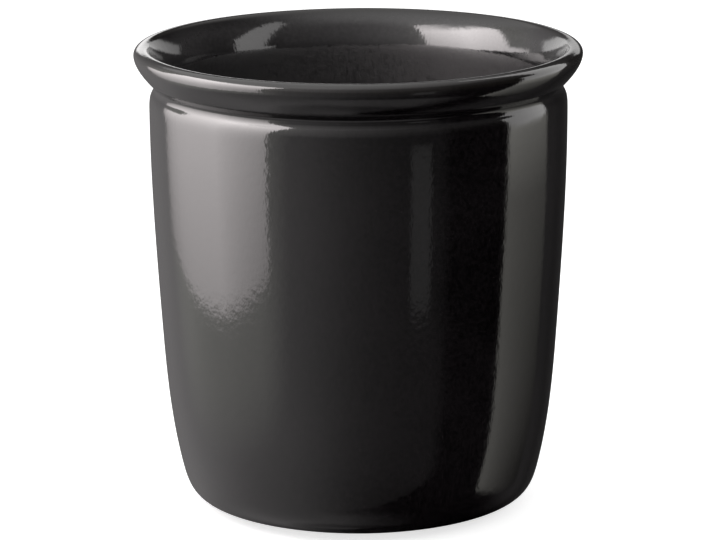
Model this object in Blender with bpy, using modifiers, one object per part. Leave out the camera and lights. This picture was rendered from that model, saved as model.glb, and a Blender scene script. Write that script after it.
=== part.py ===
"""Open stoneware crock for pickling, glazed inside and out, standing on a bare foot ring.

The crock is turned about the Z axis and its standing face lies at Z = 0. One outline gives the
finished surface, from the middle of the floor inside, up the wall, over the lip and down to the
foot. The glaze lies just under that outline, and the clay follows it one glaze thickness and one
small gap deeper. Sizes are in millimetres, points are (radius, height) and headings are degrees
from straight outwards, anticlockwise, so that 90 is up and -90 is down.
"""

import math

import bpy

METRES = 0.001

# Headings, and the most that two points of one corner may differ
OUTWARD = 0.0
UP = 90.0
INWARD = 180.0
DOWN = -90.0
SAME_POINT = 0.001
MERGE_DISTANCE = 0.01 * METRES

# Whole crock
HEIGHT = 207.0
BODY_RADIUS = 92.6

# Lip and the crease under it, from the crest down
LIP_OVERHANG = 6.6
CREST_SETBACK = 4.2
LIP_DROP = 3.5
UNDERCUT_DROP = 14.8
UNDERCUT_SLOPE = 45.0
CREASE_DEPTH = 2.1
CREASE_ROUND = 3.2
SHOULDER_DROP = 9.8
SHOULDER_SLOPE = 35.0

# Wall outside, from the foot up
WAIST_SETBACK = 4.45
WAIST_RISE = 61.0
WAIST_SLOPE = 3.9
HEEL_SETBACK = 12.55
HEEL_RISE = 14.1
HEEL_SLOPE = 14.0
HEEL_TURN = 15.5
LEDGE_WIDTH = 3.0

# Foot ring
FOOT_WIDTH = 5.2
FOOT_ROUND = 1.1
GLAZED_SIDE = 0.4
BARE_BAND = 0.9
BEARING_ROUND = 0.45

# Wall and floor, as finished thicknesses
WALL = 7.6
NECK_WALL = 5.8
FLOOR_THICKNESS = 8.1
FLOOR_ROUND = 15.0
FLARE_DEPTH = 24.0
FLARE_SLOPE = 36.0
NECK_BLEND = 6.0
CREST_ROUND = 3.4

# Glaze on clay
GLAZE = 0.5
CLEARANCE = 0.3

# Fullness of the spans that aren't plain arcs, at their start and end
UNDERCUT_EASE = (0.90, 0.58)
SHOULDER_EASE = (0.89, 1.41)
HEEL_EASE = (1.10, 1.38)

# Straight pieces in each span of the outline, and round the crock
SEGMENTS = 48
LIP_PIECES = 3
UNDERCUT_PIECES = 4
ROUND_PIECES = 2
SHOULDER_PIECES = 3
WALL_PIECES = 4
LOWER_WALL_PIECES = 3
HEEL_PIECES = 5
FLARE_PIECES = 4
FLOOR_ROUND_PIECES = 4

# Rings and heights worked out from the sizes above
LIP_RADIUS = BODY_RADIUS + LIP_OVERHANG
CREST_RADIUS = LIP_RADIUS - CREST_SETBACK
CREASE_RADIUS = BODY_RADIUS - CREASE_DEPTH
CREASE_HEIGHT = HEIGHT - LIP_DROP - UNDERCUT_DROP
SHOULDER_HEIGHT = CREASE_HEIGHT - SHOULDER_DROP
UNDERSIDE_HEIGHT = BARE_BAND + GLAZED_SIDE + FOOT_ROUND
HEEL_RADIUS = BODY_RADIUS - HEEL_SETBACK
HEEL_HEIGHT = UNDERSIDE_HEIGHT + HEEL_RISE
WAIST_RADIUS = BODY_RADIUS - WAIST_SETBACK
WAIST_HEIGHT = HEEL_HEIGHT + WAIST_RISE
UNDERSIDE_RADIUS = HEEL_RADIUS - HEEL_TURN
FOOT_RADIUS = UNDERSIDE_RADIUS - LEDGE_WIDTH - FOOT_ROUND
RECESS_RADIUS = FOOT_RADIUS - FOOT_WIDTH
FLOOR_HEIGHT = UNDERSIDE_HEIGHT + FLOOR_THICKNESS
NECK_RADIUS = CREASE_RADIUS - NECK_WALL
NECK_HEIGHT = HEIGHT - FLARE_DEPTH

# Finishes: linear colour, roughness
GLAZE_FINISH = ((0.028, 0.027, 0.026), 0.12)
CLAY_FINISH = ((0.42, 0.35, 0.27), 0.85)


def step_along(point, heading, distance):
    """The point that lies a distance away in the direction of the heading."""
    angle = math.radians(heading)
    return point[0] + distance * math.cos(angle), point[1] + distance * math.sin(angle)


def arc(centre, radius, start, end, steps):
    """Points of an arc from heading start to heading end. It bends left where the heading grows."""
    side = -90.0 if end > start else 90.0
    return [step_along(centre, start + (end - start) * i / steps + side, radius) for i in range(steps + 1)]


def oval_quarter(crest, reach, drop, steps):
    """Points of a quarter oval from its level top point out and down to its upright side point."""
    centre = (crest[0], crest[1] - drop)
    turns = [math.radians(90.0 * i / steps) for i in range(steps + 1)]
    return [(centre[0] + reach * math.sin(turn), centre[1] + drop * math.cos(turn)) for turn in turns]


def sweep(start, start_heading, end, end_heading, steps, ease=(1.0, 1.0)):
    """Points of one smooth span that leaves and arrives at the given headings, like an arc at ease 1."""
    turn = math.radians(abs(end_heading - start_heading))
    share = 2 / 3 * math.tan(turn / 4) / math.sin(turn / 2) if turn > 0 else 1 / 3
    handle = share * math.dist(start, end)
    first = step_along(start, start_heading, handle * ease[0])
    second = step_along(end, end_heading, -handle * ease[1])
    points = []
    for i in range(steps + 1):
        t = i / steps
        weights = ((1 - t) ** 3, 3 * (1 - t) ** 2 * t, 3 * (1 - t) * t ** 2, t ** 3)
        points.append(tuple(
            sum(weight * point[axis] for weight, point in zip(weights, (start, first, second, end)))
            for axis in (0, 1)
        ))
    return points


def join(*spans):
    """One run of points from several that meet end to start."""
    points = list(spans[0])
    for span in spans[1:]:
        points.extend(span[1:] if math.dist(points[-1], span[0]) < SAME_POINT else span)
    return points


def inset(points, depth):
    """The outline moved to its right, into the clay, so that each straight piece moves by depth."""
    moved = []
    for i, (radius, height) in enumerate(points):
        before = points[max(i - 1, 0)]
        after = points[min(i + 1, len(points) - 1)]
        normals = []
        for tail, head in ((before, (radius, height)), ((radius, height), after)):
            length = math.dist(tail, head)
            if length > 0:
                normals.append(((head[1] - tail[1]) / length, (tail[0] - head[0]) / length))
        across = sum(normal[0] for normal in normals) / len(normals)
        along = sum(normal[1] for normal in normals) / len(normals)
        reach = depth / (across ** 2 + along ** 2)
        moved.append((radius + reach * across, height + reach * along))
    return moved


def outside_wall():
    """The outer face from the crease down to the end of the heel."""
    hollow = arc((CREASE_RADIUS + CREASE_ROUND, CREASE_HEIGHT), CREASE_ROUND,
                 DOWN - UNDERCUT_SLOPE, DOWN + SHOULDER_SLOPE, ROUND_PIECES)
    shoulder = sweep(hollow[-1], DOWN + SHOULDER_SLOPE, (BODY_RADIUS, SHOULDER_HEIGHT), DOWN,
                     SHOULDER_PIECES, SHOULDER_EASE)
    waist = (WAIST_RADIUS, WAIST_HEIGHT)
    heel = (HEEL_RADIUS, HEEL_HEIGHT)
    upper = sweep(shoulder[-1], DOWN, waist, DOWN - WAIST_SLOPE, WALL_PIECES)
    lower = sweep(waist, DOWN - WAIST_SLOPE, heel, DOWN - HEEL_SLOPE, LOWER_WALL_PIECES)
    turn = sweep(heel, DOWN - HEEL_SLOPE, (UNDERSIDE_RADIUS, UNDERSIDE_HEIGHT), -INWARD,
                 HEEL_PIECES, HEEL_EASE)
    return join(hollow, shoulder, upper, lower, turn)


def radius_at(wall, height):
    """Radius of the outer face at a height, read off its straight pieces."""
    for (r_top, z_top), (r_low, z_low) in zip(wall, wall[1:]):
        if z_low <= height <= z_top:
            return r_low + (r_top - r_low) * (height - z_low) / (z_top - z_low)
    return wall[0][0]


def inside_face(wall):
    """The inner face from the middle of the floor up to the crest."""
    low = FLOOR_HEIGHT + FLOOR_ROUND
    high = NECK_HEIGHT - NECK_BLEND
    heights = [low + (high - low) * i / WALL_PIECES for i in range(WALL_PIECES + 1)]
    upright = [(radius_at(wall, height) - WALL, height) for height in heights]
    lean = math.degrees(math.atan2(upright[1][1] - upright[0][1], upright[1][0] - upright[0][0]))
    floor_edge = (upright[0][0] - FLOOR_ROUND, FLOOR_HEIGHT)
    rounding = sweep(floor_edge, OUTWARD, upright[0], lean, FLOOR_ROUND_PIECES)
    neck = (NECK_RADIUS, NECK_HEIGHT)
    blend = [upright[-1], neck]
    flare_heading = UP - FLARE_SLOPE
    crest = arc((CREST_RADIUS, HEIGHT - CREST_ROUND), CREST_ROUND, flare_heading, OUTWARD, ROUND_PIECES)
    flare = sweep(neck, UP, crest[0], flare_heading, FLARE_PIECES)
    return join([(0.0, FLOOR_HEIGHT)], rounding, upright, blend, flare, crest)


def coat_outline():
    """The finished surface from the middle of the floor to the end of the glaze above the foot."""
    wall = outside_wall()
    over = oval_quarter((CREST_RADIUS, HEIGHT), CREST_SETBACK, LIP_DROP, LIP_PIECES)
    under = sweep(over[-1], DOWN, wall[0], DOWN - UNDERCUT_SLOPE, UNDERCUT_PIECES, UNDERCUT_EASE)
    foot = arc((FOOT_RADIUS + FOOT_ROUND, UNDERSIDE_HEIGHT - FOOT_ROUND), FOOT_ROUND,
               -INWARD, DOWN, ROUND_PIECES)
    return join(inside_face(wall), over, under, wall, foot, [(FOOT_RADIUS, BARE_BAND)])


def recess_outline():
    """The finished surface inside the foot ring, from the end of its glaze to the axis."""
    corner = arc((RECESS_RADIUS - FOOT_ROUND, UNDERSIDE_HEIGHT - FOOT_ROUND), FOOT_ROUND,
                 UP, INWARD, ROUND_PIECES)
    return join([(RECESS_RADIUS, BARE_BAND)], corner, [(0.0, UNDERSIDE_HEIGHT)])


def clay_outline():
    """The clay under both areas of glaze, joined by the bare bearing face of the foot ring."""
    under_coat = inset(coat_outline(), GLAZE + CLEARANCE)
    under_recess = inset(recess_outline(), GLAZE + CLEARANCE)
    outer = under_coat[-1][0]
    inner = under_recess[0][0]
    edge = min(BEARING_ROUND, BARE_BAND / 2, (outer - inner) / 3)
    outer_edge = arc((outer - edge, edge), edge, DOWN, -INWARD, ROUND_PIECES)
    inner_edge = arc((inner + edge, edge), edge, INWARD, UP, ROUND_PIECES)
    return join(under_coat, outer_edge, inner_edge, under_recess)


def turned(name, outline, finish, collection, axis):
    """A solid or skin of revolution about Z, made from its outline by a Screw modifier."""
    mesh = bpy.data.meshes.new(name)
    rings = [(radius * METRES, 0.0, height * METRES) for radius, height in outline]
    mesh.from_pydata(rings, [(i, i + 1) for i in range(len(rings) - 1)], [])
    piece = bpy.data.objects.new(name, mesh)
    piece.parent = axis
    collection.objects.link(piece)
    mesh.materials.append(material(name, *finish))
    screw = piece.modifiers.new("turn", "SCREW")
    screw.axis = "Z"
    screw.angle = math.tau
    screw.steps = SEGMENTS
    screw.render_steps = SEGMENTS
    screw.use_merge_vertices = True
    screw.merge_threshold = MERGE_DISTANCE
    screw.use_smooth_shade = True
    return piece


def thicken(piece, thickness):
    """Gives a turned skin its thickness on the side away from its face."""
    shell = piece.modifiers.new("thickness", "SOLIDIFY")
    shell.thickness = thickness * METRES
    shell.offset = -1.0
    shell.use_even_offset = True


def material(name, colour, roughness):
    """A plain finish for one sub-part."""
    finish = bpy.data.materials.new(name)
    finish.use_nodes = True
    shader = finish.node_tree.nodes["Principled BSDF"]
    shader.inputs["Base Color"].default_value = (*colour, 1.0)
    shader.inputs["Roughness"].default_value = roughness
    shader.inputs["Metallic"].default_value = 0.0
    finish.diffuse_color = (*colour, 1.0)
    return finish


def main():
    """Clears the scene and builds the clay and its two areas of glaze round one upright axis."""
    for old in list(bpy.data.objects):
        bpy.data.objects.remove(old, do_unlink=True)
    collection = bpy.data.collections.new("pickle_crock")
    bpy.context.scene.collection.children.link(collection)
    axis = bpy.data.objects.new("crock_axis", None)
    collection.objects.link(axis)

    turned("stoneware_body", clay_outline(), CLAY_FINISH, collection, axis)
    coat = turned("glaze_coat", coat_outline(), GLAZE_FINISH, collection, axis)
    thicken(coat, GLAZE)
    patch = turned("base_glaze", recess_outline(), GLAZE_FINISH, collection, axis)
    thicken(patch, GLAZE)


main()
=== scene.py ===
"""Looks of an open stoneware crock: dark glossy glaze inside and out over a bare clay foot ring.

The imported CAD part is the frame. Each of its three nodes is stood for by a finely turned piece of the
same size: the glaze coat, the clay under it and the patch of glaze inside the foot ring. Lengths are in
metres, outline points are (radius, height), and headings are degrees from straight outwards, anticlockwise.
"""

import logging
import math
from dataclasses import dataclass, field, fields
from enum import Enum
from functools import reduce
from itertools import accumulate
from typing import Any, NamedTuple, Sequence

import bmesh
import bpy
from mathutils import Matrix, Vector


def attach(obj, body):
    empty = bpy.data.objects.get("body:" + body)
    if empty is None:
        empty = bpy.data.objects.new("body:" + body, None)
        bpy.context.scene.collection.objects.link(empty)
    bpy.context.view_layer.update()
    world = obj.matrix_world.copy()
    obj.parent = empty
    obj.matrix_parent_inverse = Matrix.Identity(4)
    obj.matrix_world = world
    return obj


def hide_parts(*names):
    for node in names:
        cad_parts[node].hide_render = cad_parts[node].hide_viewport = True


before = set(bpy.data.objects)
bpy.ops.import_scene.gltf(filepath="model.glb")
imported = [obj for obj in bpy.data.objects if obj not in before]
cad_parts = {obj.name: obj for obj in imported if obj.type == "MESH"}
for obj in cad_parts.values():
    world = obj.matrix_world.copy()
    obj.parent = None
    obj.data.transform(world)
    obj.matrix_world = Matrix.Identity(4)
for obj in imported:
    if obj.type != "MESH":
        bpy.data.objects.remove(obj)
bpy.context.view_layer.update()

log = logging.getLogger("pickle_crock")

MM = 0.001
TINY = 0.001 * MM  # lengths under this count as nothing
ROOT = "root"

OUTWARD = 0.0
UP = 90.0
INWARD = 180.0
DOWN = -90.0

Pair = tuple[float, float]
Point = Pair
Colour = tuple[float, float, float]
Socket = bpy.types.NodeSocket


class Slot(Enum):
    """The record's material slots."""

    GLAZE = "dark_glaze"
    CLAY = "bare_clay"


class Ease(Enum):
    """How a value runs from one level to another."""

    LINEAR = "LINEAR"
    SMOOTH = "SMOOTHSTEP"


def step_along(point: Point, heading: float, distance: float) -> Point:
    """Finds the point a distance away in the direction of the heading."""
    angle = math.radians(heading)
    return point[0] + distance * math.cos(angle), point[1] + distance * math.sin(angle)


def arc(centre: Point, radius: float, start: float, end: float, steps: int) -> list[Point]:
    """Lays out an arc from one heading to another. It bends left where the heading grows."""
    side = -90.0 if end > start else 90.0
    return [step_along(centre, start + (end - start) * i / steps + side, radius) for i in range(steps + 1)]


def sweep(start: Point, start_heading: float, end: Point, end_heading: float, steps: int,
          ease: Pair = (1.0, 1.0)) -> list[Point]:
    """Lays out one smooth span that leaves and arrives at the given headings, like an arc at ease 1.

    Args:
        start: First point.
        start_heading: Heading there.
        end: Last point.
        end_heading: Heading there.
        steps: Number of straight pieces.
        ease: Fullness of the span at its start and end.

    Returns:
        The span's points.
    """
    turn = math.radians(abs(end_heading - start_heading))
    share = 2 / 3 * math.tan(turn / 4) / math.sin(turn / 2) if turn > 0 else 1 / 3
    handle = share * math.dist(start, end)
    first = step_along(start, start_heading, handle * ease[0])
    second = step_along(end, end_heading, -handle * ease[1])
    corners, points = (start, first, second, end), []
    for t in (i / steps for i in range(steps + 1)):
        weights = ((1 - t) ** 3, 3 * (1 - t) ** 2 * t, 3 * (1 - t) * t ** 2, t ** 3)
        points.append((sum(w * p[0] for w, p in zip(weights, corners)),
                       sum(w * p[1] for w, p in zip(weights, corners))))
    return points


def join(*spans: Sequence[Point]) -> list[Point]:
    """Joins spans that meet end to start.

    Args:
        spans: The spans, in order.

    Returns:
        One run of points.
    """
    points = list(spans[0])
    for span in spans[1:]:
        points.extend(span[1:] if math.dist(points[-1], span[0]) < TINY else span)
    return points


def inset(points: Sequence[Point], depth: float) -> list[Point]:
    """Moves an outline to its right, into the clay.

    Args:
        points: The outline.
        depth: How far each straight piece moves.

    Returns:
        The moved outline.
    """
    normals, moved = [], []
    for tail, head in zip(points, points[1:]):
        length = math.dist(tail, head)
        normals.append(((head[1] - tail[1]) / length, (tail[0] - head[0]) / length))
    for i, (radius, height) in enumerate(points):
        near = normals[max(i - 1, 0):i + 1]
        across, along = (sum(normal[axis] for normal in near) / len(near) for axis in (0, 1))
        reach = depth / (across ** 2 + along ** 2)
        moved.append((max(radius + reach * across, 0.0), height + reach * along))
    return moved


def evened(points: Sequence[Point], pitch: float) -> list[Point]:
    """Spaces an outline's points evenly, about a pitch apart, and keeps both ends."""
    reach = [0.0, *accumulate(math.dist(tail, head) for tail, head in zip(points, points[1:]))]
    return shared_out(points, reach, max(2, round(reach[-1] / pitch)))


def shared_out(points: Sequence[Point], reach: Sequence[float], count: int) -> list[Point]:
    """Divides an outline into equal steps of a measure that grows along it.

    Args:
        points: The outline.
        reach: The measure at each of its points.
        count: Number of steps.

    Returns:
        Points on the outline, with both ends kept.
    """
    spaced, piece = [], 0
    for i in range(count + 1):
        at = reach[-1] * i / count
        while piece < len(points) - 2 and reach[piece + 1] < at:
            piece += 1
        share = (at - reach[piece]) / (reach[piece + 1] - reach[piece])
        tail, head = points[piece], points[piece + 1]
        spaced.append((tail[0] + (head[0] - tail[0]) * share, tail[1] + (head[1] - tail[1]) * share))
    return spaced


def bend_at(before: Point, here: Point, after: Point) -> float:
    """Measures how sharply an outline bends at a point.

    Args:
        before: A point of the outline before it.
        here: The point.
        after: A point of the outline after it.

    Returns:
        The bend in radians per metre, positive to the right, and 0 at an end of the outline.
    """
    if here in (before, after):
        return 0.0
    turn = heading_between(before, here) - heading_between(here, after)
    turn = (turn + math.pi) % math.tau - math.pi
    return 2.0 * turn / (math.dist(before, here) + math.dist(here, after))


def heading_between(tail: Point, head: Point) -> float:
    """Gives the heading from one point to another, in radians."""
    return math.atan2(head[1] - tail[1], head[0] - tail[0])


@dataclass(frozen=True)
class Pace:
    """How closely a skin's rings follow one another.

    The turn is in degrees from ring to ring, and growth limits how fast the gaps widen along the outline.
    The bend is probed over a reach of that many probe lengths.
    """

    closest: float = 0.42 * MM
    widest: float = 2.7 * MM
    turn: float = 6.5
    growth: float = 0.22
    probe: float = 0.2 * MM
    reach: int = 3


def paced(points: Sequence[Point], pace: Pace) -> list[Point]:
    """Spaces an outline's points closely where it bends and widely where it runs straight.

    Args:
        points: The outline.
        pace: The distances to keep.

    Returns:
        Points on the outline, with both ends kept.
    """
    dense = evened(points, pace.probe)
    last = len(dense) - 1
    steps = [math.dist(a, b) for a, b in zip(dense, dense[1:])]
    pitches = []
    for i, here in enumerate(dense):
        bend = abs(bend_at(dense[max(i - pace.reach, 0)], here, dense[min(i + pace.reach, last)]))
        pitch = math.radians(pace.turn) / max(bend, TINY)
        pitches.append(min(pace.widest, max(pace.closest, pitch)))
    for i in range(1, last + 1):
        pitches[i] = min(pitches[i], pitches[i - 1] + pace.growth * steps[i - 1])
    for i in range(last - 1, -1, -1):
        pitches[i] = min(pitches[i], pitches[i + 1] + pace.growth * steps[i])
    rings = accumulate(2.0 * step / (a + b) for step, a, b in zip(steps, pitches, pitches[1:]))
    reach = [0.0, *rings]
    return shared_out(dense, reach, max(2, round(reach[-1])))


@dataclass
class CrockOutline:
    """The finished surface, with the CAD part's outside and an inner wall up to 1.2 mm off it."""

    height: float = 207.0 * MM
    body_radius: float = 92.6 * MM
    lip_overhang: float = 6.6 * MM
    crest_setback: float = 4.2 * MM
    lip_drop: float = 3.5 * MM
    undercut_drop: float = 14.8 * MM
    undercut_slope: float = 45.0
    crease_depth: float = 2.1 * MM
    crease_round: float = 3.2 * MM
    shoulder_drop: float = 9.8 * MM
    shoulder_slope: float = 35.0
    waist_setback: float = 4.45 * MM
    waist_rise: float = 61.0 * MM
    waist_slope: float = 3.9
    heel_setback: float = 12.55 * MM
    heel_rise: float = 14.1 * MM
    heel_slope: float = 14.0
    heel_turn: float = 15.5 * MM
    ledge_width: float = 3.0 * MM
    foot_width: float = 5.2 * MM
    foot_round: float = 1.1 * MM
    glazed_side: float = 0.4 * MM
    bare_band: float = 0.9 * MM
    bearing_round: float = 0.45 * MM
    wall: float = 6.6 * MM
    neck_wall: float = 4.54 * MM
    floor_thickness: float = 8.1 * MM
    floor_round: float = 15.0 * MM
    flare_depth: float = 20.2 * MM
    flare_slope: float = 36.0
    neck_blend: float = 38.0 * MM
    crest_round: float = 3.4 * MM
    undercut_ease: Pair = (0.90, 0.58)
    shoulder_ease: Pair = (0.89, 1.41)
    heel_ease: Pair = (1.10, 1.38)
    steps: int = 24
    round_steps: int = 12
    foot_steps: int = 8

    @property
    def crest_radius(self) -> float:
        """Radius of the crest."""
        return self.body_radius + self.lip_overhang - self.crest_setback

    @property
    def underside(self) -> float:
        """Height of the glazed underside beside the foot ring."""
        return self.bare_band + self.glazed_side + self.foot_round

    @property
    def foot_radius(self) -> float:
        """Outer radius of the glazed foot ring."""
        return self.body_radius - self.heel_setback - self.heel_turn - self.ledge_width - self.foot_round

    @property
    def recess_radius(self) -> float:
        """Radius of the recess inside the foot ring."""
        return self.foot_radius - self.foot_width

    @property
    def floor_height(self) -> float:
        """Height of the floor inside."""
        return self.underside + self.floor_thickness

    def lip(self) -> list[Point]:
        """Lays out the lip from the crest down to the crease.

        Returns:
            The points.
        """
        lip_radius = self.crest_radius + self.crest_setback
        turns = [math.radians(90.0 * i / self.steps) for i in range(self.steps + 1)]
        over = [(self.crest_radius + self.crest_setback * math.sin(t),
                 self.height - self.lip_drop * (1 - math.cos(t))) for t in turns]
        under = sweep((lip_radius, self.height - self.lip_drop), DOWN, self.crease()[0],
                      DOWN - self.undercut_slope, self.steps, self.undercut_ease)
        return join(over, under)

    def crease(self) -> list[Point]:
        """Lays out the hollow under the lip, from the lip's side down."""
        centre = (self.body_radius - self.crease_depth + self.crease_round,
                  self.height - self.lip_drop - self.undercut_drop)
        return arc(centre, self.crease_round, DOWN - self.undercut_slope, DOWN + self.shoulder_slope,
                   self.round_steps)

    def outer_wall(self) -> list[Point]:
        """Lays out the outer face from the crease down to the end of the heel.

        Returns:
            The points.
        """
        hollow = self.crease()
        crease_height = self.height - self.lip_drop - self.undercut_drop
        shoulder = sweep(hollow[-1], DOWN + self.shoulder_slope,
                         (self.body_radius, crease_height - self.shoulder_drop), DOWN,
                         self.steps, self.shoulder_ease)
        heel = (self.body_radius - self.heel_setback, self.underside + self.heel_rise)
        waist = (self.body_radius - self.waist_setback, heel[1] + self.waist_rise)
        upper = sweep(shoulder[-1], DOWN, waist, DOWN - self.waist_slope, 2 * self.steps)
        lower = sweep(waist, DOWN - self.waist_slope, heel, DOWN - self.heel_slope, 2 * self.steps)
        turn = sweep(heel, DOWN - self.heel_slope, (heel[0] - self.heel_turn, self.underside), -INWARD,
                     self.steps, self.heel_ease)
        return join(hollow, shoulder, upper, lower, turn)

    def inner_wall(self) -> list[Point]:
        """Lays out the inner face from the middle of the floor up to the crest.

        Returns:
            The points.
        """
        wall, count = self.outer_wall(), 4 * self.steps
        low = self.floor_height + self.floor_round
        high = self.height - self.flare_depth - self.neck_blend
        heights = [low + (high - low) * i / count for i in range(count + 1)]
        upright = [(radius_at(wall, height) - self.wall, height) for height in heights]
        lean = math.degrees(heading_between(upright[0], upright[1]))
        rounding = sweep((upright[0][0] - self.floor_round, self.floor_height), OUTWARD, upright[0], lean,
                         self.steps)
        neck = (self.body_radius - self.crease_depth - self.neck_wall, self.height - self.flare_depth)
        top_lean = math.degrees(heading_between(upright[-2], upright[-1]))
        blend = sweep(upright[-1], top_lean, neck, UP, self.steps)
        heading = UP - self.flare_slope
        crest = arc((self.crest_radius, self.height - self.crest_round), self.crest_round, heading, OUTWARD,
                    self.round_steps)
        flare = sweep(neck, UP, crest[0], heading, self.steps)
        return join([(0.0, self.floor_height)], rounding, upright, blend, flare, crest)

    def coat(self) -> list[Point]:
        """Lays out the main coat's face, from the middle of the floor to its end above the foot."""
        foot = arc((self.foot_radius + self.foot_round, self.underside - self.foot_round),
                   self.foot_round, -INWARD, DOWN, self.foot_steps)
        return join(self.inner_wall(), self.lip(), self.outer_wall(), foot,
                    [(self.foot_radius, self.bare_band)])

    def recess(self) -> list[Point]:
        """Lays out the face of the glaze inside the foot ring, from its edge to the axis."""
        corner = arc((self.recess_radius - self.foot_round, self.underside - self.foot_round),
                     self.foot_round, UP, INWARD, self.foot_steps)
        return join([(self.recess_radius, self.bare_band)], corner, [(0.0, self.underside)])


def radius_at(wall: Sequence[Point], height: float) -> float:
    """Reads the radius of an outline at a height.

    Args:
        wall: Outline that runs downwards.
        height: Where to read it.

    Returns:
        The radius there.
    """
    for (r_top, z_top), (r_low, z_low) in zip(wall, wall[1:]):
        if z_low <= height <= z_top:
            return r_low + (r_top - r_low) * (height - z_low) / (z_top - z_low)
    return wall[0][0]


class Tree:
    """Adds and links nodes in one node tree."""

    def __init__(self, tree: bpy.types.NodeTree) -> None:
        """Keeps the tree that the nodes go into."""
        self.tree = tree

    def add(self, kind: str, inputs: dict[Any, Any] | None = None, **settings: Any) -> bpy.types.Node:
        """Adds a node, sets it and links its inputs.

        Args:
            kind: The node's type.
            inputs: Value or output socket for each input, by name or place.
            settings: The node's own settings.

        Returns:
            The node.
        """
        node = self.tree.nodes.new(kind)
        for name, value in settings.items():
            setattr(node, name, value)
        self.feed(node, inputs or {})
        return node

    def feed(self, node: bpy.types.Node, inputs: dict[Any, Any]) -> None:
        """Sets or links a node's inputs.

        Args:
            node: The node.
            inputs: Value or output socket for each input, by name or place.
        """
        for name, value in inputs.items():
            if isinstance(value, Socket):
                self.tree.links.new(value, node.inputs[name])
            else:
                node.inputs[name].default_value = value

    def math(self, operation: str, *values: Any) -> Socket:
        """Works with numbers or sockets in a Math node."""
        return self.add("ShaderNodeMath", dict(enumerate(values)), operation=operation).outputs[0]

    def product(self, *values: Any) -> Socket:
        """Multiplies values, in order."""
        return reduce(lambda done, value: self.math("MULTIPLY", done, value), values)

    def total(self, *values: Any) -> Socket:
        """Adds up values, in order."""
        return reduce(lambda done, value: self.math("ADD", done, value), values)

    def vector(self, operation: str, *values: Any) -> Socket:
        """Works with vectors or sockets in a Vector Math node."""
        node = self.add("ShaderNodeVectorMath", dict(enumerate(values)), operation=operation)
        return node.outputs["Value" if operation == "DOT_PRODUCT" else "Vector"]

    def scaled(self, vector: Socket, share: Socket) -> Socket:
        """Scales a vector by a value."""
        return self.add("ShaderNodeVectorMath", {0: vector, "Scale": share}, operation="SCALE").outputs[0]

    def parts(self, vector: Socket) -> Any:
        """Gives the X, Y and Z outputs of a vector."""
        return self.add("ShaderNodeSeparateXYZ", {0: vector}).outputs

    def place(self) -> Socket:
        """Gives the place on the piece, in its own frame."""
        return self.add("ShaderNodeTexCoord").outputs["Object"]

    def ramp(self, value: Socket, start: float, end: float, low: Any = 0.0, high: Any = 1.0,
             ease: Ease = Ease.LINEAR) -> Socket:
        """Runs from low to high while a value goes from start to end, and stays level beyond both."""
        inputs = {"Value": value, "From Min": start, "From Max": end, "To Min": low, "To Max": high}
        return self.add("ShaderNodeMapRange", inputs, interpolation_type=ease.value).outputs[0]

    def noise(self, place: Socket, scale: float, detail: float, roughness: float = 0.5) -> Socket:
        """Gives noise from 0 to 1. The scale is in waves per metre, and roughness is that of its detail."""
        inputs = {"Vector": place, "Scale": scale, "Detail": detail, "Roughness": roughness}
        return self.add("ShaderNodeTexNoise", inputs).outputs[0]

    def blend(self, share: Socket, first: Any, second: Any) -> Socket:
        """Mixes two colours, each a socket or red, green and blue. The share is the second one's."""
        ends = [(*colour, 1.0) if isinstance(colour, tuple) else colour for colour in (first, second)]
        inputs = {"Factor": share, 6: ends[0], 7: ends[1]}
        return self.add("ShaderNodeMix", inputs, data_type="RGBA").outputs[2]


def put_in_scene(name: str, data: bpy.types.ID) -> bpy.types.Object:
    """Makes an object of a mesh, lamp or camera and links it to the scene."""
    thing = bpy.data.objects.new(name, data)
    bpy.context.scene.collection.objects.link(thing)
    return thing


@dataclass
class Waves:
    """How far a turned surface strays from its true form, and over what lengths.

    The sink is a share of the swell, by which the face lies lower so that it stays within its size.
    """

    swell: float = 0.06 * MM
    swell_length: float = 45.0 * MM
    ring: float = 0.005 * MM
    ring_length: float = 5.0 * MM
    ring_stretch: float = 12.0
    ripple: float = 0.009 * MM
    ripple_length: float = 8.0 * MM
    edge: float = 0.22 * MM
    edge_length: float = 14.0 * MM
    seed: float = 3.0
    sink: float = 0.7

    def inputs(self) -> dict[str, float]:
        """Gives each size under the name of the turning tree's input."""
        return {size.name.replace("_", " ").title(): getattr(self, size.name) for size in fields(self)}


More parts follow.
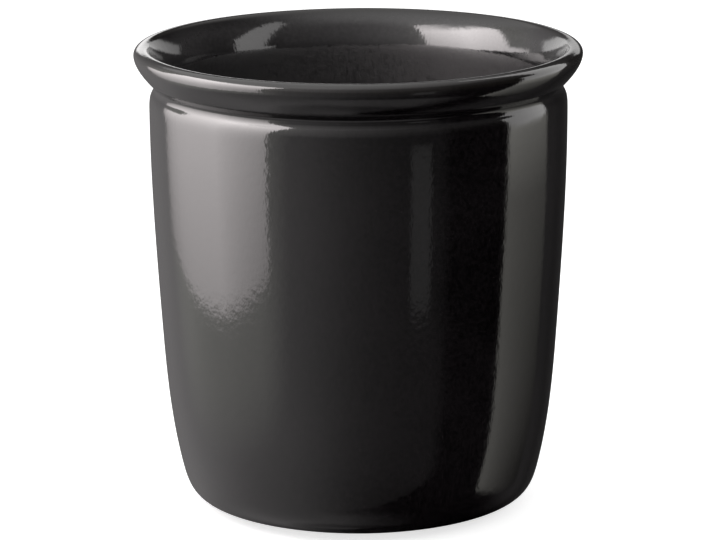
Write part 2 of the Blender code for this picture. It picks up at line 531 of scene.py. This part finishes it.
def turned_tree() -> bpy.types.NodeTree:
    """Builds the tree that turns an outline about Z and lets its face stray a little.

    Returns:
        The tree. Its inputs are the outline, the counts, the sizes of the waves and the finish.
    """
    tree = bpy.data.node_groups.new("turned_surface", "GeometryNodeTree")
    kinds = {"Outline": "Geometry", "Rows": "Int", "Around": "Int", "Finish": "Material",
             **dict.fromkeys(Waves().inputs(), "Float")}
    for name, kind in kinds.items():
        tree.interface.new_socket(name, in_out="INPUT", socket_type="NodeSocket" + kind)
    tree.interface.new_socket("Turned", in_out="OUTPUT", socket_type="NodeSocketGeometry")
    t = Tree(tree)
    given = t.add("NodeGroupInput").outputs
    rows_less_one = t.math("SUBTRACT", given["Rows"], 1.0)
    around_plus_one = t.total(given["Around"], 1.0)
    grid = t.add("GeometryNodeMeshGrid", {"Size X": rows_less_one, "Size Y": given["Around"],
                                          "Vertices X": given["Rows"], "Vertices Y": around_plus_one})
    here = t.add("GeometryNodeInputPosition").outputs[0]
    place = t.parts(here)
    row = t.math("ROUND", t.total(place["X"], t.product(rows_less_one, 0.5)))
    angle = t.product(t.total(t.math("DIVIDE", place["Y"], given["Around"]), 0.5), math.tau)
    cosine, sine = t.math("COSINE", angle), t.math("SINE", angle)

    def read(value: Socket, kind: str) -> Socket:
        """Reads one of the outline's values at this row."""
        sample = {"Geometry": given["Outline"], "Value": value, "Index": row}
        return t.add("GeometryNodeSampleIndex", sample, data_type=kind, domain="POINT").outputs[0]

    def stored(name: str, kind: str = "FLOAT") -> Socket:
        """Reads one of the outline's stored values at this row."""
        value = t.add("GeometryNodeInputNamedAttribute", {"Name": name}, data_type=kind)
        return read(value.outputs[0], kind)

    def spun(value: Socket) -> Socket:
        """Turns (radius, 0, height) to this point's angle about Z."""
        radius, _, height = t.parts(value)
        corner = {0: t.product(radius, cosine), 1: t.product(radius, sine), 2: height}
        return t.add("ShaderNodeCombineXYZ", corner).outputs[0]

    def wave(name: str, place_at: Socket, shift: float, detail: float = 2.0) -> Socket:
        """Gives noise of one of the given sizes and its length."""
        inputs = {"Vector": t.vector("ADD", place_at, (shift, -shift, shift)), "W": given["Seed"],
                  "Scale": t.math("DIVIDE", 1.0, given[name + " Length"]), "Detail": detail}
        node = t.add("ShaderNodeTexNoise", inputs, noise_dimensions="4D", normalize=True)
        return t.product(t.math("SUBTRACT", node.outputs[0], 0.5), 2.0, given[name])

    point, normal = spun(read(here, "FLOAT_VECTOR")), spun(stored("facing", "FLOAT_VECTOR"))
    flat = t.vector("MULTIPLY", point, (1.0, 1.0, 0.0))
    squeezed = t.vector("ADD", t.vector("SUBTRACT", point, flat),
                        t.scaled(flat, t.math("DIVIDE", 1.0, given["Ring Stretch"])))
    stray = t.total(wave("Swell", point, 0.1, 0.0), wave("Ring", squeezed, 0.3), wave("Ripple", point, 0.7))
    stray = t.math("SUBTRACT", stray, t.product(given["Swell"], given["Sink"]))
    sag = t.product(wave("Edge", point, 0.5), stored("edge"))
    moved = t.vector("ADD", t.scaled(normal, t.product(stray, stored("lift"))),
                     t.add("ShaderNodeCombineXYZ", {2: sag}).outputs[0])
    sheet = grid.outputs["Mesh"]
    for name in ("path", "bend"):
        kept = {"Geometry": sheet, "Name": name, "Value": stored(name)}
        sheet = t.add("GeometryNodeStoreNamedAttribute", kept, data_type="FLOAT", domain="POINT").outputs[0]
    for kind, inputs in (("SetPosition", {"Position": t.vector("ADD", point, moved)}),
                         ("MergeByDistance", {"Distance": TINY}),
                         ("SetShadeSmooth", {}), ("RealizeInstances", {}),
                         ("SetMaterial", {"Material": given["Finish"]})):
        sheet = t.add("GeometryNode" + kind, {"Geometry": sheet, **inputs}).outputs[0]
    t.add("NodeGroupOutput", {"Turned": sheet})
    return tree


@dataclass
class OutlineRow:
    """One ring of a turned piece before it is turned."""

    point: Point
    facing: Point = (0.0, 0.0)
    lift: float = 0.0
    edge: float = 0.0
    path: float = 0.0
    bend: float = 0.0


def rows_of(face: Sequence[Point], back: Sequence[Point], fade: float,
            path_start: float = 0.0) -> list[OutlineRow]:
    """Lists the rings of a closed skin: its face, then its back from the other end.

    Args:
        face: Outline of the face that shows.
        back: Outline of the hidden back, in the same direction as the face.
        fade: Length over which the waves fade out towards an open edge.
        path_start: Path length that the face's first ring counts from.

    Returns:
        The rings, in order round the skin. A ring's bend is in degrees per millimetre.
    """
    total = sum(math.dist(a, b) for a, b in zip(face, face[1:]))
    rows, reach = [], 0.0
    for i, point in enumerate(face):
        before, after = face[max(i - 1, 0)], face[min(i + 1, len(face) - 1)]
        reach += math.dist(before, point)
        length = math.dist(before, after)
        facing = (-(after[1] - before[1]) / length, (after[0] - before[0]) / length)
        bend = math.degrees(bend_at(before, point, after)) * MM
        left = [r for r, end in ((reach, face[0]), (total - reach, face[-1])) if end[0] > TINY]
        share = min(1.0, min(left, default=fade) / fade)
        share = share * share * (3 - 2 * share)
        rows.append(OutlineRow(point, facing, share, 1.0 - share, path_start + reach, bend))
    hidden = [OutlineRow(point) for point in reversed(back)]
    return hidden + rows if face[-1][0] < TINY else rows + hidden


@dataclass
class TurnedPiece:
    """A piece of revolution made by the turning tree, which stands for a CAD node as a plain mesh."""

    name: str
    node: str
    slot: Slot
    rows: list[OutlineRow]
    around: int
    waves: Waves
    finish: bpy.types.Material
    tree: bpy.types.NodeTree

    def build(self) -> None:
        """Turns the outline and keeps the result as a mesh at the origin, in place of its CAD node."""
        outline = bpy.data.meshes.new(self.name + "_outline")
        rings = [(row.point[0], 0.0, row.point[1]) for row in self.rows]
        outline.from_pydata(rings, [(i, i + 1) for i in range(len(rings) - 1)], [])
        for name in ("lift", "edge", "path", "bend"):
            values = outline.attributes.new(name, "FLOAT", "POINT")
            values.data.foreach_set("value", [getattr(row, name) for row in self.rows])
        facing = outline.attributes.new("facing", "FLOAT_VECTOR", "POINT")
        facings = [part for row in self.rows for part in (row.facing[0], 0.0, row.facing[1])]
        facing.data.foreach_set("vector", facings)
        lathe = put_in_scene(self.name + "_lathe", outline)
        modifier = lathe.modifiers.new("turn", "NODES")
        modifier.node_group = self.tree
        given = {"Rows": len(self.rows), "Around": self.around, "Finish": self.finish,
                 **self.waves.inputs()}
        sockets = {item.name: item.identifier for item in self.tree.interface.items_tree
                   if item.in_out == "INPUT"}
        for name, value in given.items():
            modifier[sockets[name]] = value
        graph = bpy.context.evaluated_depsgraph_get()
        mesh = bpy.data.meshes.new_from_object(lathe.evaluated_get(graph), depsgraph=graph)
        lathe.modifiers.clear()
        bpy.data.objects.remove(lathe, do_unlink=True)
        bpy.data.meshes.remove(outline)
        mesh.name = self.name
        piece = put_in_scene(self.name, mesh)
        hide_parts(self.node)
        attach(piece, ROOT)
        log.info("%s: %d faces", self.name, len(mesh.polygons))


def plain_material(name: str) -> tuple[bpy.types.Material, Tree, bpy.types.Node]:
    """Makes a material with one Principled shader.

    Args:
        name: The material's name.

    Returns:
        The material, its tree and its shader.
    """
    material = bpy.data.materials.new(name)
    material.use_nodes = True
    return material, Tree(material.node_tree), material.node_tree.nodes["Principled BSDF"]


@dataclass(frozen=True)
class GlazeFinish:
    """Dark glossy glaze with a fine orange-peel skin.

    Inside, its colour is paler than outside as painted light: palest in the flare, then less pale from the
    neck to the floor, where the glaze is also dry and rough. Where each starts is a length along the coat
    from the middle of the floor. It wears thin where the bend, in degrees per millimetre, is sharp.
    """

    name: str = "anthracite_glaze"
    dark: Colour = (0.0008, 0.0005, 0.0007)
    light: Colour = (0.0054, 0.0043, 0.0049)
    tone_range: Pair = (0.40, 0.60)
    cloud_scale: float = 14.0
    speck_scale: float = 520.0
    thin: Colour = (0.0100, 0.0086, 0.0074)
    thin_bends: Pair = (6.0, 16.0)
    thin_speck: float = 0.8
    thin_least: float = 0.25
    # Painted light: the colours of the inside of the flare, paler than the outside.
    inner_dark: Colour = (0.0255, 0.0240, 0.0247)
    inner_light: Colour = (0.0365, 0.0340, 0.0350)
    inner_tone_range: Pair = (0.35, 0.65)
    inner_from: float = 260.0 * MM
    inner_to: float = 266.0 * MM
    border_wander: float = 4.0 * MM
    # Painted light: the colour from the neck down to the floor, paler than the outside but less than the
    # flare.
    dry_colour: Colour = (0.0098, 0.0086, 0.0091)
    dry_colour_from: float = 247.6 * MM
    dry_colour_to: float = 253.4 * MM
    dry_from: float = 248.6 * MM
    dry_to: float = 250.4 * MM
    dry_roughness: float = 0.54
    dry_speck: float = 0.8
    roughness: float = 0.085
    sheen_range: Pair = (0.3, 0.7)
    sheen_spread: Pair = (0.75, 1.3)
    peel: float = 0.016 * MM
    peel_length: float = 3.2 * MM
    fine: float = 0.010 * MM
    fine_length: float = 1.05 * MM
    upright: float = 0.50

    def build(self) -> bpy.types.Material:
        """Builds the material.

        Returns:
            The material.
        """
        material, t, shader = plain_material(self.name)
        place = t.place()
        cloud = t.noise(place, self.cloud_scale, 4.0, 0.6)
        speck = t.noise(place, self.speck_scale, 3.0, 0.6)
        mottle = t.total(t.product(cloud, 0.5), t.product(speck, 0.5))
        path = t.add("ShaderNodeAttribute", attribute_name="path").outputs["Fac"]
        path = t.math("MULTIPLY_ADD", t.math("SUBTRACT", cloud, 0.5), self.border_wander, path)
        body = t.blend(t.ramp(mottle, *self.tone_range), self.dark, self.light)
        # Painted light: the inside is paler than the outside, most in the flare.
        inner = t.blend(t.ramp(speck, *self.inner_tone_range), self.inner_dark, self.inner_light)
        colour = t.blend(t.ramp(path, self.inner_to, self.inner_from), body, inner)
        # Painted light: from the neck down to the floor the inside stays paler than the outside.
        colour = t.blend(t.ramp(path, self.dry_colour_to, self.dry_colour_from), colour, self.dry_colour)
        bend = t.add("ShaderNodeAttribute", attribute_name="bend").outputs["Fac"]
        worn = t.product(t.ramp(bend, *self.thin_bends),
                         t.math("MULTIPLY_ADD", speck, self.thin_speck, self.thin_least))
        sheen = [self.roughness * share for share in self.sheen_spread]
        grain = t.math("MULTIPLY_ADD", speck, self.dry_speck, self.dry_roughness - self.dry_speck / 2)
        roughness = t.add("ShaderNodeMix", {0: t.ramp(path, self.dry_to, self.dry_from),
                                            2: t.ramp(mottle, *self.sheen_range, *sheen), 3: grain},
                          data_type="FLOAT").outputs[0]
        drawn = t.add("ShaderNodeMapping", {"Vector": place, "Scale": (1.0, 1.0, self.upright)}).outputs[0]
        height = t.total(t.product(t.noise(place, 1 / self.peel_length, 1.5, 0.45), 2 * self.peel),
                         t.product(t.noise(drawn, 1 / self.fine_length, 1.0), 2 * self.fine))
        bump = t.add("ShaderNodeBump", {"Height": height, "Strength": 1.0, "Distance": 1.0}).outputs[0]
        colour = t.blend(worn, colour, self.thin)
        t.feed(shader, {"Base Color": colour, "Roughness": roughness, "Normal": bump})
        return material


@dataclass(frozen=True)
class ClayFinish:
    """Bare fired clay, fine grained and matt, with dark specks."""

    name: str = "bare_stoneware"
    pale: Colour = (0.50, 0.43, 0.34)
    deep: Colour = (0.33, 0.265, 0.195)
    cloud_scale: float = 60.0
    speck: Colour = (0.13, 0.09, 0.06)
    speck_scale: float = 700.0
    speck_edges: Pair = (0.18, 0.08)
    speck_share: float = 0.7
    roughness: float = 0.85
    roughness_spread: float = 0.1
    grain: float = 0.08 * MM
    grain_scale: float = 1400.0

    def build(self) -> bpy.types.Material:
        """Builds the material.

        Returns:
            The material.
        """
        material, t, shader = plain_material(self.name)
        place = t.place()
        grain = t.noise(place, self.grain_scale, 3.0, 0.7)
        body = t.blend(t.noise(place, self.cloud_scale, 6.0, 0.7), self.deep, self.pale)
        dots = t.add("ShaderNodeTexVoronoi", {"Vector": place, "Scale": self.speck_scale})
        near = t.product(t.ramp(dots.outputs["Distance"], *self.speck_edges), self.speck_share)
        rough = t.ramp(grain, 0.0, 1.0, self.roughness - self.roughness_spread,
                       self.roughness + self.roughness_spread)
        height = t.product(grain, self.grain)
        bump = t.add("ShaderNodeBump", {"Height": height, "Strength": 1.0, "Distance": 1.0}).outputs[0]
        t.feed(shader, {"Base Color": t.blend(near, body, self.speck), "Roughness": rough, "Normal": bump})
        return material


@dataclass
class Crock:
    """The crock's three pieces and their finishes."""

    outline: CrockOutline = field(default_factory=CrockOutline)
    around: int = 300
    face_pace: Pace = Pace()
    back_pace: Pace = Pace(closest=1.2 * MM, widest=18.0 * MM, turn=16.0, growth=0.5)
    clay_pace: Pace = Pace(closest=0.9 * MM, widest=6.0 * MM, turn=12.0, growth=0.4)
    glaze_thickness: float = 0.5 * MM
    clay_gap: float = 0.05 * MM
    edge_fade: float = 1.6 * MM
    base_path: float = 500.0 * MM
    base_waves: Waves = field(default_factory=lambda: Waves(swell=0.04 * MM))
    bearing_pitch: float = 0.35 * MM
    bearing_steps: int = 4
    tree: bpy.types.NodeTree = field(default_factory=turned_tree)
    glaze: bpy.types.Material = field(default_factory=lambda: GlazeFinish().build())
    clay: bpy.types.Material = field(default_factory=lambda: ClayFinish().build())

    def skin(self, face: Sequence[Point], path_start: float = 0.0) -> list[OutlineRow]:
        """Lists the rings of a closed skin of glaze behind a face."""
        back = inset(paced(face, self.back_pace), self.glaze_thickness)
        return rows_of(paced(face, self.face_pace), back, self.edge_fade, path_start)

    def build_coat(self) -> None:
        """Builds the main coat of glaze."""
        rows = self.skin(self.outline.coat())
        TurnedPiece("glaze_skin", "glaze_coat", Slot.GLAZE, rows, self.around, Waves(), self.glaze,
                    self.tree).build()

    def build_base_patch(self) -> None:
        """Builds the patch of glaze inside the foot ring."""
        rows = self.skin(self.outline.recess(), self.base_path)
        TurnedPiece("recess_glaze", "base_glaze", Slot.GLAZE, rows, self.around // 2, self.base_waves,
                    self.glaze, self.tree).build()

    def build_clay(self) -> None:
        """Builds the clay under both areas of glaze, with its bare bearing face."""
        shape, depth = self.outline, self.glaze_thickness + self.clay_gap
        coat = inset(paced(shape.coat(), self.clay_pace), depth)
        recess = inset(paced(shape.recess(), self.clay_pace), depth)
        outer, inner, edge = coat[-1][0], recess[0][0], shape.bearing_round
        bearing = join(arc((outer - edge, edge), edge, DOWN, -INWARD, self.bearing_steps),
                       arc((inner + edge, edge), edge, INWARD, UP, self.bearing_steps))
        rows = rows_of(join(coat, evened(bearing, self.bearing_pitch), recess), [], self.edge_fade)
        for row in rows:
            row.lift = row.edge = 0.0
        TurnedPiece("clay_body", "stoneware_body", Slot.CLAY, rows, self.around // 2, Waves(), self.clay,
                    self.tree).build()


@dataclass(frozen=True)
class PhotoView:
    """The camera that takes the photograph's view, with its offset and focal length in pixels."""

    pitch: float = 13.5
    distance: float = 1.7179
    focal_pixels: float = 3840.0
    aim_height: float = 0.10442
    aim_offset: float = 1.515
    roll: float = 0.358
    image_width: float = 716.0
    sensor: float = 36.0
    clip: Pair = (0.05, 50.0)

    def build(self) -> None:
        """Builds the camera and makes it the scene's."""
        pitch, roll = math.radians(self.pitch), math.radians(self.roll)
        data = bpy.data.cameras.new("photo_camera")
        data.sensor_width = self.sensor
        data.lens = self.focal_pixels / self.image_width * self.sensor
        data.clip_start, data.clip_end = self.clip
        camera = put_in_scene("photo_camera", data)
        away = Vector((0.0, -math.cos(pitch), math.sin(pitch)))
        aim = Vector((0.0, 0.0, self.aim_height))
        place = aim + away * self.distance
        aim.x -= self.aim_offset / self.focal_pixels * self.distance
        back = (place - aim).normalized()
        right = Vector((0.0, 0.0, 1.0)).cross(back).normalized()
        up = back.cross(right)
        leaning = right * math.cos(roll) - up * math.sin(roll)
        upright = right * math.sin(roll) + up * math.cos(roll)
        turn = Matrix((leaning, upright, back)).transposed()
        camera.matrix_world = Matrix.Translation(place) @ turn.to_4x4()
        bpy.context.scene.camera = camera


def seen_directly(t: Tree) -> Socket:
    """Gives 1 for the rays that see the background itself and 0 for those that it lights."""
    rays = t.add("ShaderNodeLightPath").outputs
    return reduce(lambda seen, kind: t.math("MAXIMUM", seen, rays[f"Is {kind} Ray"]),
                  ("Glossy", "Transmission"), rays["Is Camera Ray"])


def show_in_reflections_only(piece: bpy.types.Object) -> None:
    """Hides a card or the drape from everything but reflections."""
    piece.visible_camera = piece.visible_diffuse = piece.visible_shadow = piece.visible_transmission = False


def flat_panel(name: str, corners: Sequence[Sequence[float]],
               finish: bpy.types.Material) -> bpy.types.Object:
    """Makes a panel of one face.

    Args:
        name: The panel's name.
        corners: Its four corners, in order round it.
        finish: Its material.

    Returns:
        The panel.
    """
    mesh = bpy.data.meshes.new(name)
    mesh.from_pydata(corners, [], [(0, 1, 2, 3)])
    mesh.materials.append(finish)
    return put_in_scene(name, mesh)


class Stand(NamedTuple):
    """Where a panel stands: its bearing and tilt in degrees, and its distance from the crock's axis."""

    bearing: float
    distance: float
    tilt: float


class Edges(NamedTuple):
    """One length for each edge of a panel."""

    left: float
    right: float
    bottom: float
    top: float


class Cut(NamedTuple):
    """A line across a panel from one point to another. What lies to its left stays dark."""

    left: float
    bottom: float
    right: float
    top: float
    fade: float


@dataclass(frozen=True)
class Card:
    """A flat panel of the studio that only the glaze's reflections show. Without a glow it is a dark card.

    It stands square to its bearing, which is 0 in front of the crock and grows to the right. Its edges are
    measured from its own point at the middle height, and each fades over its own length. The glow is full
    on the panel's upright middle line and has the left and right share at those edges. Upwards, it runs
    from the low share to full between the two heights of the rise, as a power that the bow gives. Towards
    the right it also falls off, by e over each length of the fall.
    """

    name: str
    stand: Stand
    edges: Edges
    fades: Edges
    glow: float
    low_share: float = 1.0
    left_share: float = 1.0
    right_share: float = 1.0
    rise: Pair = (0.0, 0.0)
    bow: float = 1.0
    fall: float = 1e3
    tint: Colour = (1.0, 0.985, 0.98)
    middle: float = 0.12
    cuts: tuple[Cut, ...] = ()

    def build(self) -> None:
        """Builds the panel."""
        left, right, bottom, top = self.edges
        corners = [(left, 0, bottom), (right, 0, bottom), (right, 0, top), (left, 0, top)]
        panel = flat_panel(self.name, corners, self.glowing())
        angle, distance = math.radians(self.stand.bearing), self.stand.distance
        panel.location = (distance * math.sin(angle), -distance * math.cos(angle), self.middle)
        panel.rotation_euler = (-math.radians(self.stand.tilt), 0.0, angle)
        show_in_reflections_only(panel)

    def glowing(self) -> bpy.types.Material:
        """Builds the panel's light, which fades out at its edges.

        Returns:
            The material.
        """
        material, t, _ = plain_material(self.name)
        t.tree.nodes.clear()
        spot = t.place()
        across, up = t.parts(spot)["X"], t.parts(spot)["Z"]
        (left, right, bottom, top), fades = self.edges, self.fades
        shown = t.product(t.ramp(across, left, left + fades.left, ease=Ease.SMOOTH),
                          t.ramp(across, right - fades.right, right, 1.0, 0.0, Ease.SMOOTH),
                          t.ramp(up, bottom, bottom + fades.bottom, ease=Ease.SMOOTH),
                          t.ramp(up, top - fades.top, top, 1.0, 0.0, Ease.SMOOTH))
        for cut in self.cuts:
            length = math.dist((cut.left, cut.bottom), (cut.right, cut.top))
            inward = ((cut.top - cut.bottom) / length, 0.0, (cut.left - cut.right) / length)
            depth = t.math("SUBTRACT", t.vector("DOT_PRODUCT", spot, inward),
                           cut.left * inward[0] + cut.bottom * inward[2])
            shown = t.product(shown, t.ramp(depth, 0.0, cut.fade, ease=Ease.SMOOTH))
        rise = t.math("POWER", t.ramp(up, *self.rise), self.bow)
        level = t.product(t.ramp(across, left, 0.0, self.left_share, 1.0),
                          t.ramp(across, 0.0, right, 1.0, self.right_share),
                          t.math("MULTIPLY_ADD", rise, 1.0 - self.low_share, self.low_share),
                          t.math("EXPONENT", t.math("DIVIDE", across, -self.fall)), self.glow)
        glow = t.add("ShaderNodeEmission", {"Color": (*self.tint, 1.0), "Strength": level})
        clear = t.add("ShaderNodeBsdfTransparent")
        mixed = t.add("ShaderNodeMixShader", {0: shown, 1: clear.outputs[0], 2: glow.outputs[0]})
        t.add("ShaderNodeOutputMaterial", {0: mixed.outputs[0]})
        return material


SOFTBOX = {"low_share": 0.275, "left_share": 0.20, "rise": (-0.19, 0.40), "bow": 1.22,
           "tint": (1.0, 0.945, 0.945)}

# The panels whose reflections the glaze shows, each with its stand, edges, fades and glow.
CARDS = (
    Card("left_softbox", Stand(-77.7, 0.497, 10.1), Edges(-0.56, 0.302, -0.188, 0.60),
         Edges(0.04, 0.012, 0.010, 0.02), 18.0, right_share=0.66, **SOFTBOX,
         cuts=(Cut(-0.34, 0.386, 0.297, 0.562, 0.018), Cut(-0.30, 0.21, -0.245, 0.41, 0.05))),
    Card("left_softbox_wing", Stand(-77.7, 0.499, 10.1), Edges(-0.565, -0.15, -0.188, 0.22),
         Edges(0.03, 0.02, 0.010, 0.05), 18.0, **SOFTBOX),
    Card("left_halo", Stand(-77.7, 0.52, 10.1), Edges(-0.70, 0.50, -0.42, 0.80),
         Edges(0.42, 0.30, 0.24, 0.30), 1.78, left_share=0.6, tint=(1.0, 0.99, 0.94)),
    Card("right_softbox", Stand(86.5, 0.209, 27.8), Edges(-0.060, 0.050, 0.045, 0.262),
         Edges(0.004, 0.004, 0.04, 0.006), 2.6,
         cuts=(Cut(-0.058, 0.0, -0.012, 0.275, 0.005), Cut(0.012, 0.275, 0.050, 0.150, 0.005),
               Cut(0.044, 0.16, 0.029, 0.085, 0.006))),
    Card("right_softbox_corner", Stand(86.5, 0.2095, 27.8), Edges(-0.060, -0.01, 0.045, 0.130),
         Edges(0.004, 0.004, 0.04, 0.006), 2.6),
    Card("right_reflector", Stand(86.5, 0.212, 27.8), Edges(-0.060, 0.32, -0.395, 0.11),
         Edges(0.010, 0.01, 0.03, 0.02), 1.25, low_share=0.5, rise=(-0.01, 0.05), fall=0.0915,
         tint=(1.0, 0.98, 0.915), cuts=(Cut(0.064, 0.022, 0.282, -0.426, 0.010),)),
    Card("front_strip", Stand(31.5, 0.60, 0.0), Edges(-0.062, 0.062, -0.212, -0.02),
         Edges(0.015, 0.012, 0.008, 0.04), 0.40),
    Card("back_left", Stand(-150.0, 0.35, 0.0), Edges(-0.36, 0.02, 0.10, 0.185),
         Edges(0.03, 0.03, 0.015, 0.02), 2.3, left_share=0.35),
    Card("back_right", Stand(150.0, 0.35, 0.0), Edges(-0.06, 0.32, 0.11, 0.185),
         Edges(0.015, 0.03, 0.015, 0.02), 1.0),
    Card("overhead", Stand(0.0, 0.0, -90.0), Edges(-0.45, 0.32, -0.50, 0.31),
         Edges(0.15, 0.30, 0.20, 0.26), 2.1, low_share=0.5, left_share=1.6, right_share=0.30,
         rise=(-0.30, 0.20), middle=0.50),
    # A dark card on the floor in front of the foot, seen only in reflections: painted shadow of the crock
    # on the floor.
    Card("foot_shade", Stand(0.0, 0.0, -90.0), Edges(-0.030, 0.084, 0.0, 0.118),
         Edges(0.065, 0.032, 0.04, 0.003), 0.0, middle=0.001,
         cuts=(Cut(-0.02, 0.0952, 0.07, 0.1102, 0.004),)),
)


@dataclass
class Studio:
    """Floor, drape, cards and lamps."""

    floor_size: float = 14.0
    floor_colour: Colour = (0.86, 0.86, 0.86)
    floor_roughness: float = 0.9
    floor_glow: float = 0.70
    drape_radius: float = 4.0
    drape_segments: tuple[int, int] = (48, 24)
    drape_tint: Colour = (1.0, 0.962, 0.968)
    world_light: float = 0.55
    lamp_aim: Vector = field(default_factory=lambda: Vector((0.0, 0.0, 0.1)))

    def build(self) -> None:
        """Builds the whole studio."""
        self.build_floor()
        self.build_drape()
        self.build_world()
        self.build_lamp("left_lamp", place=Vector((-1.62, -0.35, 1.6)), size=1.4, power=14.0)
        self.build_lamp("right_lamp", place=Vector((1.6, -0.5, 1.2)), size=1.0, power=4.5)
        for card in CARDS:
            card.build()
            log.info("card: %s", card.name)

    def build_floor(self) -> None:
        """Builds the pale floor, which is white to the camera and keeps the crock's shadow."""
        half = self.floor_size / 2
        corners = [(-half, -half, 0), (half, -half, 0), (half, half, 0), (-half, half, 0)]
        material, t, shader = plain_material("pale_floor")
        t.feed(shader, {"Base Color": (*self.floor_colour, 1.0), "Roughness": self.floor_roughness,
                        "Emission Color": (1.0, 1.0, 1.0, 1.0),
                        "Emission Strength": t.product(seen_directly(t), self.floor_glow)})
        floor = flat_panel("studio_floor", corners, material)
        floor.visible_glossy = False

    def build_drape(self) -> None:
        """Builds the dark drape round the set, which only reflections show.

        Its left side is lit by the softbox: the glow falls off smoothly towards the right, and behind. Low
        in front, a glow is a painted reflection of the lit table, and straight down the drape darkens as
        painted shadow of the crock.
        """
        mesh = bpy.data.meshes.new("dark_drape")
        ball = bmesh.new()
        around, upwards = self.drape_segments
        bmesh.ops.create_uvsphere(ball, u_segments=around, v_segments=upwards, radius=self.drape_radius)
        ball.to_mesh(mesh)
        ball.free()
        material, t, _ = plain_material("dark_drape")
        t.tree.nodes.clear()
        place = t.parts(t.place())
        bearing = t.math("DEGREES", t.math("ARCTAN2", place["X"], t.product(place["Y"], -1.0)))
        height = t.math("DIVIDE", place["Z"], self.drape_radius)

        def turning(start: float, end: float, low: float, high: float) -> Socket:
            """Steps smoothly from low to high between two bearings."""
            return t.ramp(bearing, start, end, low, high, Ease.SMOOTH)

        def rising(start: float, end: float, low: float, high: float) -> Socket:
            """Steps smoothly from low to high between two heights, which are shares of the radius."""
            return t.ramp(height, start, end, low, high, Ease.SMOOTH)

        def falling(level: float, bearing_at_half: float, width: float) -> Socket:
            """Falls off from a level, ever more slowly, round the bearing where half of it is left."""
            steep = t.math("EXPONENT", t.math("DIVIDE", t.total(bearing, -bearing_at_half), width))
            return t.math("DIVIDE", level, t.total(steep, 1.0))

        side = t.product(falling(1.05, -25.0, 17.0), turning(-184.0, -92.0, 0.0, 1.0),
                         rising(-0.62, -0.40, 0.80, 1.0), rising(-0.96, -0.88, 0.45, 1.0))
        front = t.product(turning(42.0, 54.0, 0.10, 0.008), rising(-0.75, -0.50, 0.3, 1.0))
        behind = t.total(turning(95.0, 118.0, 0.0, 0.08), turning(126.0, 146.0, 0.0, -0.05))
        # Painted reflection of the lit table, which darkens straight down as painted shadow of the crock.
        table = t.product(rising(-0.80, -0.68, 0.32, 0.0), rising(-0.98, -0.93, 0.3, 1.0),
                          turning(45.0, 85.0, 1.0, 0.0), turning(-50.0, -5.0, 0.0, 1.0))
        ceiling = t.total(rising(0.70, 0.98, 0.0, 0.7), rising(0.30, 0.70, 0.0, 0.15))
        upper_side = t.product(falling(0.7, -20.0, 28.0), turning(-150.0, -70.0, 0.0, 1.0),
                               rising(0.05, 0.35, 0.0, 1.0))
        glow = t.total(side, front, behind, table, ceiling, upper_side)
        lit = t.add("ShaderNodeEmission", {"Color": (*self.drape_tint, 1.0), "Strength": glow})
        t.add("ShaderNodeOutputMaterial", {0: lit.outputs[0]})
        mesh.materials.append(material)
        drape = put_in_scene("dark_drape", mesh)
        show_in_reflections_only(drape)

    def build_world(self) -> None:
        """Gives the world a plain pale light, white behind the set."""
        world = bpy.data.worlds.new("studio_world")
        bpy.context.scene.world = world
        world.use_nodes = True
        t = Tree(world.node_tree)
        strength = t.math("MULTIPLY_ADD", seen_directly(t), 1.0 - self.world_light, self.world_light)
        t.feed(world.node_tree.nodes["Background"], {"Color": (1.0, 1.0, 1.0, 1.0), "Strength": strength})

    def build_lamp(self, name: str, place: Vector, size: float, power: float) -> None:
        """Builds a soft lamp, which lights at a plain level and leaves no reflection of its own.

        Args:
            name: The lamp's name.
            place: Where it hangs.
            size: Length of its sides.
            power: Its power in watts.
        """
        data = bpy.data.lights.new(name, "AREA")
        data.shape, data.size, data.energy = "SQUARE", size, power
        lamp = put_in_scene(name, data)
        lamp.location = place
        lamp.rotation_euler = (place - self.lamp_aim).to_track_quat("Z", "Y").to_euler()
        lamp.visible_glossy = False


def main() -> None:
    """Builds the crock and the studio in order."""
    logging.basicConfig(level=logging.INFO, format="%(message)s")
    crock = Crock()
    crock.build_coat()
    crock.build_clay()
    crock.build_base_patch()
    Studio().build()
    PhotoView().build()
    bpy.context.scene.view_settings.view_transform = "Standard"


if __name__ == "__main__":
    main()
